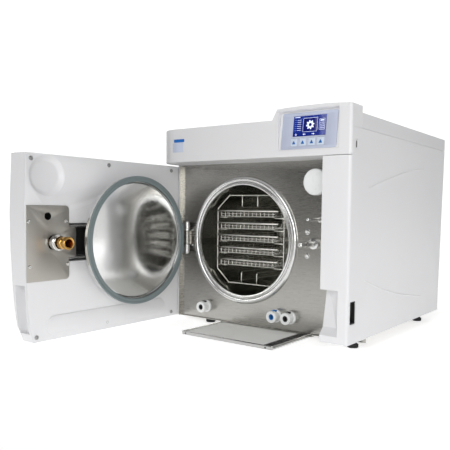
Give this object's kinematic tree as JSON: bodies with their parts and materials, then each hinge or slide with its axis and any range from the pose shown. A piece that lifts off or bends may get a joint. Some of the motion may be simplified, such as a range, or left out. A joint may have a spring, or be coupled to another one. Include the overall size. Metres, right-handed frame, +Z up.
{
  "type": "benchtop autoclave",
  "caption": "Benchtop steam autoclave: boxy white cabinet, round chamber with a wire rack of trays, side-hinged door held open, raised display and a pull-out filter drawer.",
  "frame": {"origin": "centre of the object's footprint in the stored pose, on the surface it stands on", "axes": "+Z up, +X to the right seen from the front, +Y to the back, along the chamber"},
  "size_m": [0.555, 0.882, 0.474],
  "materials": {
    "white_moulding": "satin moulded, white",
    "painted_side": "fine textured white paint",
    "stainless": "brushed stainless",
    "polished_steel": "polished stainless",
    "wire": "electropolished wire",
    "brass": "turned brass",
    "black_plastic": "matt black",
    "rubber_foot": "matt black rubber",
    "black_metal": "black powder coat",
    "seal": "grey silicone",
    "port_white": "smooth white",
    "blue_plastic": "smooth blue",
    "overlay": "printed film, pale blue grey",
    "keycap": "printed film, pale",
    "screen": "glossy display",
    "fleece": "white filter fleece",
    "drawer_aluminium": "satin aluminium",
    "insulation": "mineral fibre wrap",
    "copper": "bare copper sheath",
    "fins": "bare aluminium fins",
    "board": "green solder mask",
    "tank_plastic": "milky plastic",
    "motor_paint": "dark enamel"
  },
  "bodies": {
    "cabinet": {"base_plate": "stainless", "front_plate": "stainless", "right_housing": "painted_side", "control_fascia": "white_moulding", "left_side_panel": "painted_side", "top_cover": "painted_side", "rear_panel": "stainless", "foot_front_left": "rubber_foot", "foot_front_right": "rubber_foot", "foot_rear_left": "rubber_foot", "foot_rear_right": "rubber_foot", "chamber_vessel": "stainless", "chamber_flange": "polished_steel", "heater_band": "copper", "chamber_insulation": "insulation", "lock_motor": "motor_paint", "guide_pin": "polished_steel", "port_left": "port_white", "port_middle": "port_white", "port_right": "port_white", "display_panel": "overlay", "lcd_screen": "screen", "memory_slot": "black_plastic", "switch_housing": "black_plastic", "hinge_bracket": "stainless", "hinge_pin": "polished_steel", "water_reservoir": "tank_plastic", "vacuum_pump": "motor_paint", "condenser": "fins", "control_board": "board", "mains_inlet": "black_plastic", "safety_valve": "brass"},
    "door": {"door_outer_shell": "white_moulding", "door_inner_liner": "white_moulding", "door_hinge_leaf": "stainless", "door_plate": "polished_steel", "door_gasket": "seal", "door_crossbar": "black_metal", "latch_plate": "stainless", "brass_nut": "brass", "nut_bush": "polished_steel"},
    "lock_spindle": {"lock_spindle": "polished_steel"},
    "air_filter": {"air_filter": "port_white"},
    "filter_drawer": {"filter_drawer": "drawer_aluminium", "filter_mat": "fleece"},
    "rack": {"tray_rack": "wire"},
    "tray_1": {"tray_1": "wire"},
    "tray_2": {"tray_2": "wire"},
    "tray_3": {"tray_3": "wire"},
    "tray_4": {"tray_4": "wire"},
    "tray_5": {"tray_5": "wire"},
    "key_1": {"key_1": "keycap"},
    "key_2": {"key_2": "keycap"},
    "key_3": {"key_3": "keycap"},
    "key_4": {"key_4": "keycap"},
    "port_latch_left": {"port_latch_left": "black_plastic"},
    "port_latch_middle": {"port_latch_middle": "blue_plastic"},
    "port_latch_right": {"port_latch_right": "black_plastic"},
    "power_rocker": {"power_rocker": "black_plastic"},
    "cooling_fan": {"cooling_fan": "black_plastic"}
  },
  "joints": [
    {"name": "door_hinge", "type": "hinge", "parent": "cabinet", "child": "door", "pos_m": [-0.1895, -0.034, 0.202], "axis": [0, 0, -1], "range_deg": [-90, 0]},
    {"name": "lock_spindle_spin", "type": "hinge", "parent": "cabinet", "child": "lock_spindle", "pos_m": [0.1535, -0.027, 0.2025], "axis": [0, 1, 0], "continuous": true},
    {"name": "air_filter_unscrew", "type": "hinge", "parent": "cabinet", "child": "air_filter", "pos_m": [0.1725, -0.027, 0.3297], "axis": [0, -1, 0], "range_deg": [0, 720]},
    {"name": "filter_drawer_slide", "type": "slide", "parent": "cabinet", "child": "filter_drawer", "axis": [0, -1, 0], "range_m": [-0.138, 0]},
    {"name": "rack_slide", "type": "slide", "parent": "cabinet", "child": "rack", "axis": [0, -1, 0], "range_m": [0, 0.3]},
    {"name": "tray_1_slide", "type": "slide", "parent": "rack", "child": "tray_1", "axis": [0, -1, 0], "range_m": [0, 0.28]},
    {"name": "tray_2_slide", "type": "slide", "parent": "rack", "child": "tray_2", "axis": [0, -1, 0], "range_m": [0, 0.28]},
    {"name": "tray_3_slide", "type": "slide", "parent": "rack", "child": "tray_3", "axis": [0, -1, 0], "range_m": [0, 0.28]},
    {"name": "tray_4_slide", "type": "slide", "parent": "rack", "child": "tray_4", "axis": [0, -1, 0], "range_m": [0, 0.28]},
    {"name": "tray_5_slide", "type": "slide", "parent": "rack", "child": "tray_5", "axis": [0, -1, 0], "range_m": [0, 0.28]},
    {"name": "key_1_press", "type": "slide", "parent": "cabinet", "child": "key_1", "axis": [0, 0.9925, -0.1219], "range_m": [0, 0.0006], "stiffness_N_per_m": 2000},
    {"name": "key_2_press", "type": "slide", "parent": "cabinet", "child": "key_2", "axis": [0, 0.9925, -0.1219], "range_m": [0, 0.0006], "stiffness_N_per_m": 2000},
    {"name": "key_3_press", "type": "slide", "parent": "cabinet", "child": "key_3", "axis": [0, 0.9925, -0.1219], "range_m": [0, 0.0006], "stiffness_N_per_m": 2000},
    {"name": "key_4_press", "type": "slide", "parent": "cabinet", "child": "key_4", "axis": [0, 0.9925, -0.1219], "range_m": [0, 0.0006], "stiffness_N_per_m": 2000},
    {"name": "port_latch_left_press", "type": "slide", "parent": "cabinet", "child": "port_latch_left", "axis": [0, 0, -1], "range_m": [0, 0.0014], "stiffness_N_per_m": 1500},
    {"name": "port_latch_middle_press", "type": "slide", "parent": "cabinet", "child": "port_latch_middle", "axis": [0, 0, -1], "range_m": [0, 0.0014], "stiffness_N_per_m": 1500},
    {"name": "port_latch_right_press", "type": "slide", "parent": "cabinet", "child": "port_latch_right", "axis": [0, 0, -1], "range_m": [0, 0.0014], "stiffness_N_per_m": 1500},
    {"name": "power_rocker_tilt", "type": "hinge", "parent": "cabinet", "child": "power_rocker", "pos_m": [0.2685, -0.0845, 0.07975], "axis": [0, 1, 0], "range_deg": [-16, 0]},
    {"name": "cooling_fan_spin", "type": "hinge", "parent": "cabinet", "child": "cooling_fan", "pos_m": [0.2025, 0.388, 0.15], "axis": [0, 1, 0], "continuous": true}
  ]
}
